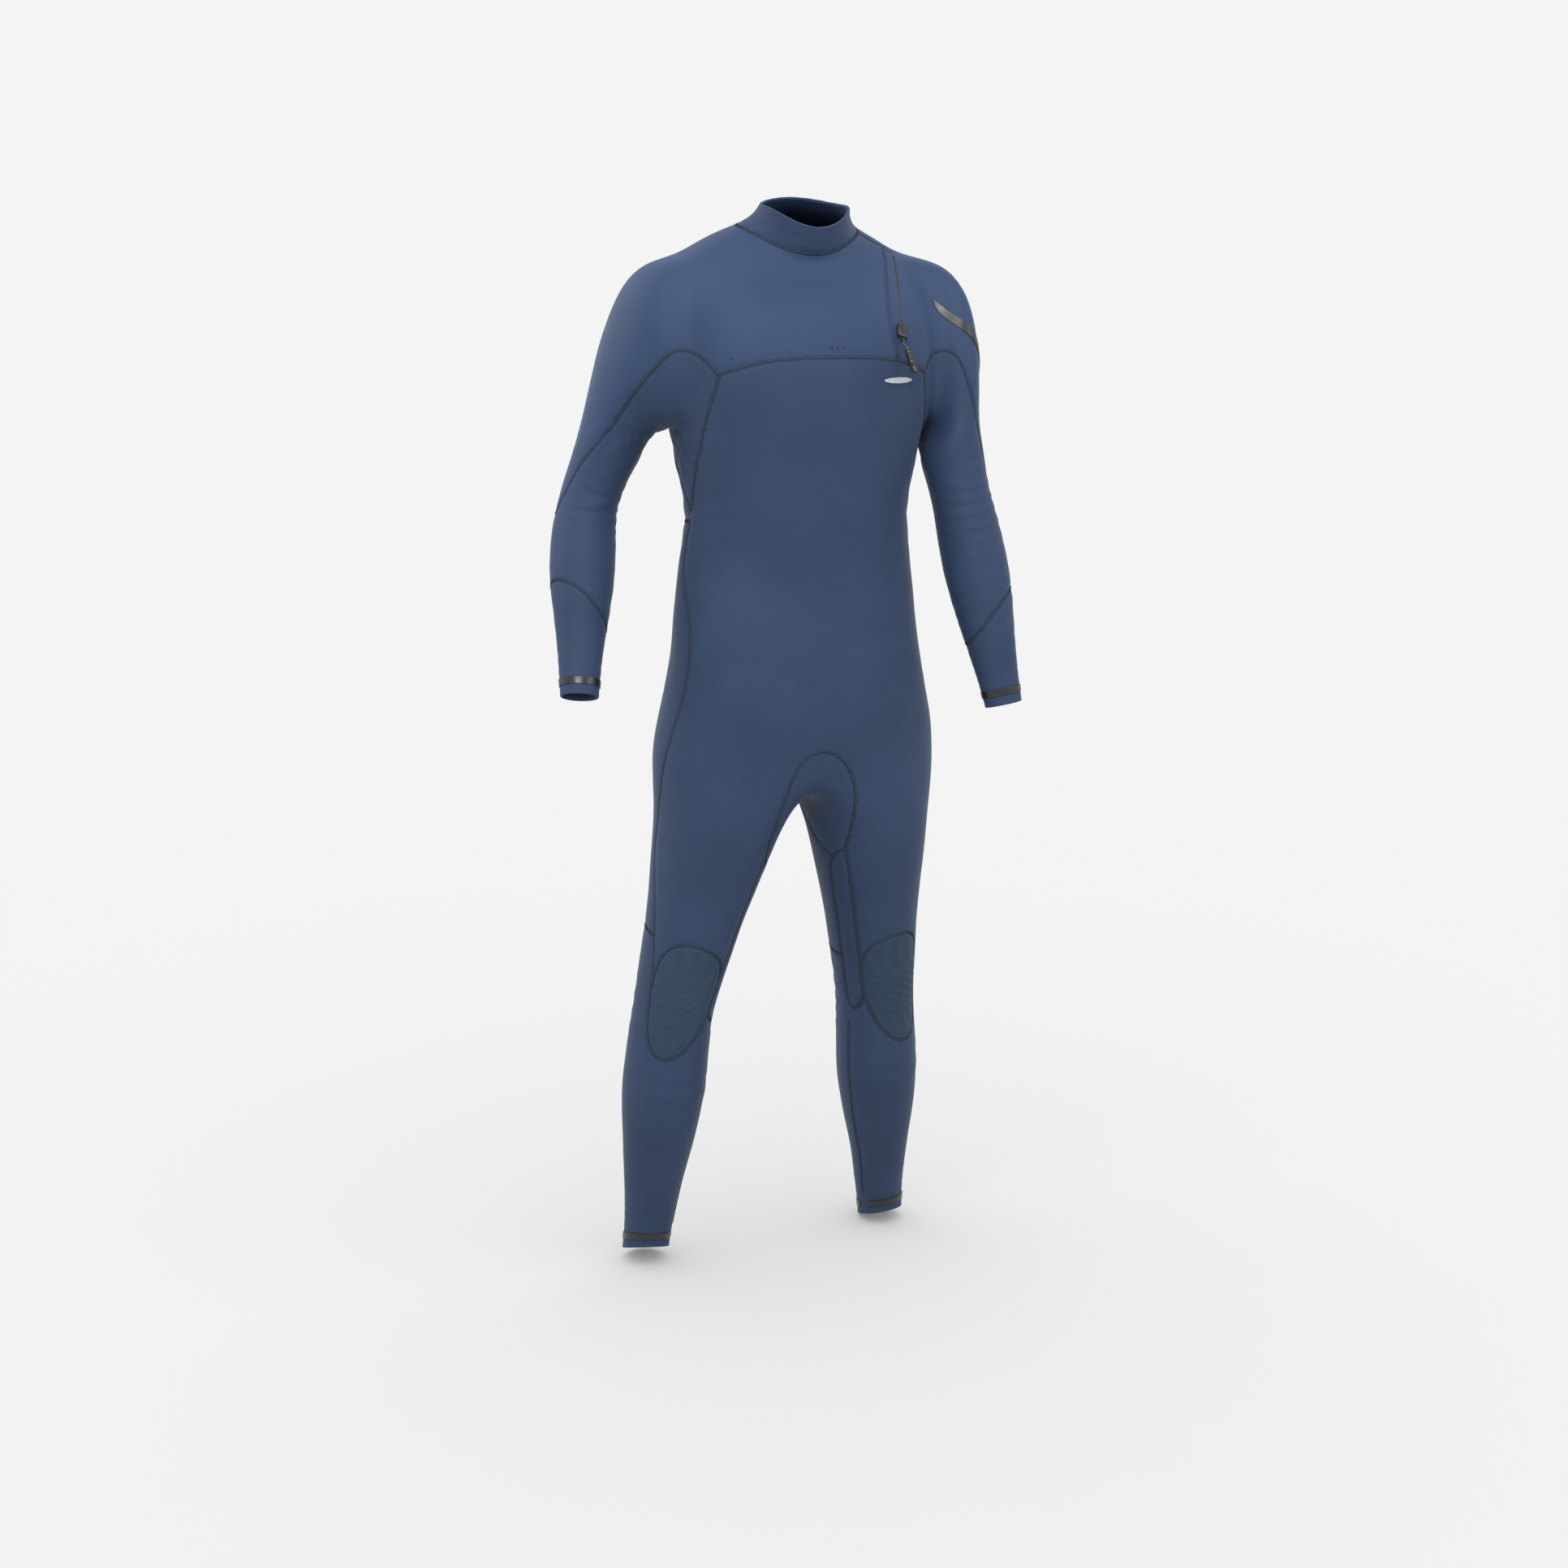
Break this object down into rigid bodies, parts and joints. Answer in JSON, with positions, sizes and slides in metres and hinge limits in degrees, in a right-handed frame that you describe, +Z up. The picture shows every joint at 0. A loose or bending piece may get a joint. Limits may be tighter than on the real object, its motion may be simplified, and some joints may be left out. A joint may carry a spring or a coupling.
{
  "type": "wetsuit",
  "caption": "Full-length neoprene wetsuit with long sleeves and legs, a diagonal zip over one shoulder, ribbed knee pads and glossy cuffs, filled out as worn.",
  "frame": {"origin": "on the centre plane of the suit at ankle level, below the middle of the trunk", "axes": "+Z up along the body, -Y towards the chest, +X towards the wearer's left arm"},
  "size_m": [0.5977, 0.2686, 1.426],
  "materials": {
    "blue_neoprene": "satin",
    "navy_neoprene": "satin",
    "ribbed_knee": "matte",
    "gloss_rubber": "gloss",
    "stretch_print": "gloss",
    "silver_print": "satin",
    "black_plastic": "satin",
    "black_metal": "satin",
    "cord": "matte",
    "zip_coil": "satin",
    "zip_tape": "matte",
    "lining": "matte"
  },
  "bodies": {
    "suit": {"back_panel": "navy_neoprene", "back_yoke": "navy_neoprene", "chest_label": "silver_print", "chest_yoke": "blue_neoprene", "collar": "navy_neoprene", "crotch_gusset": "navy_neoprene", "elbow_left": "navy_neoprene", "elbow_right": "navy_neoprene", "front_panel": "blue_neoprene", "inner_thigh_left": "navy_neoprene", "inner_thigh_right": "navy_neoprene", "knee_back_left": "navy_neoprene", "knee_back_right": "navy_neoprene", "knee_pad_left": "ribbed_knee", "knee_pad_right": "ribbed_knee", "left_shoulder": "blue_neoprene", "seat_left": "navy_neoprene", "seat_right": "navy_neoprene", "shoulder_stripe": "stretch_print", "underarm_left": "navy_neoprene", "underarm_right": "navy_neoprene", "zip_backing": "lining", "zip_chain_left": "zip_coil", "zip_chain_right": "zip_coil", "zip_stop_bottom": "black_plastic", "zip_stop_top": "black_plastic", "zip_tape_left": "zip_tape", "zip_tape_right": "zip_tape"},
    "slider": {"slider": "black_plastic", "slider_bail": "black_metal"},
    "pull": {"pull_cord": "cord", "pull_grip": "black_plastic"},
    "forearm_left": {"forearm_left": "navy_neoprene", "cuff_left": "navy_neoprene", "wrist_band_left": "gloss_rubber"},
    "lower_leg_left": {"shin_left": "navy_neoprene", "ankle_band_left": "gloss_rubber"},
    "forearm_right": {"forearm_right": "navy_neoprene", "cuff_right": "navy_neoprene", "wrist_band_right": "gloss_rubber"},
    "lower_leg_right": {"shin_right": "navy_neoprene", "ankle_band_right": "gloss_rubber"}
  },
  "joints": [
    {"name": "zip_slide", "type": "hinge", "parent": "suit", "child": "slider", "pos_m": [0.12295, 0.07499, 1.12177], "axis": [-0.9788, 0.1762, 0.1042], "range_deg": [0, 30], "deforming": ["zip_chain_left", "zip_chain_right", "zip_tape_left", "zip_tape_right"]},
    {"name": "pull_swing", "type": "hinge", "parent": "slider", "child": "pull", "pos_m": [0.09771, -0.13117, 1.21457], "axis": [-0.9332, -0.2134, 0.2891], "range_deg": [0, 140]},
    {"name": "elbow_bend_left", "type": "hinge", "parent": "suit", "child": "forearm_left", "pos_m": [0.2125, -0.073, 0.984], "axis": [-0.9877, 0, -0.1566], "range_deg": [-5, 90], "stiffness_Nm_per_rad": 4, "deforming": ["elbow_left"]},
    {"name": "elbow_bend_right", "type": "hinge", "parent": "suit", "child": "forearm_right", "pos_m": [-0.262, 0.088, 0.999], "axis": [-0.9668, 0, 0.2557], "range_deg": [-30, 60], "stiffness_Nm_per_rad": 4, "deforming": ["elbow_right"]},
    {"name": "knee_bend_left", "type": "hinge", "parent": "suit", "child": "lower_leg_left", "pos_m": [0.121, 0.008, 0.318], "axis": [0.9966, 0, 0.0819], "range_deg": [0, 90], "stiffness_Nm_per_rad": 6, "deforming": ["knee_back_left", "knee_pad_left", "inner_thigh_left"]},
    {"name": "knee_bend_right", "type": "hinge", "parent": "suit", "child": "lower_leg_right", "pos_m": [-0.174, 0.008, 0.321], "axis": [0.986, 0, -0.1665], "range_deg": [0, 90], "stiffness_Nm_per_rad": 6, "deforming": ["knee_back_right", "knee_pad_right", "inner_thigh_right"]}
  ]
}
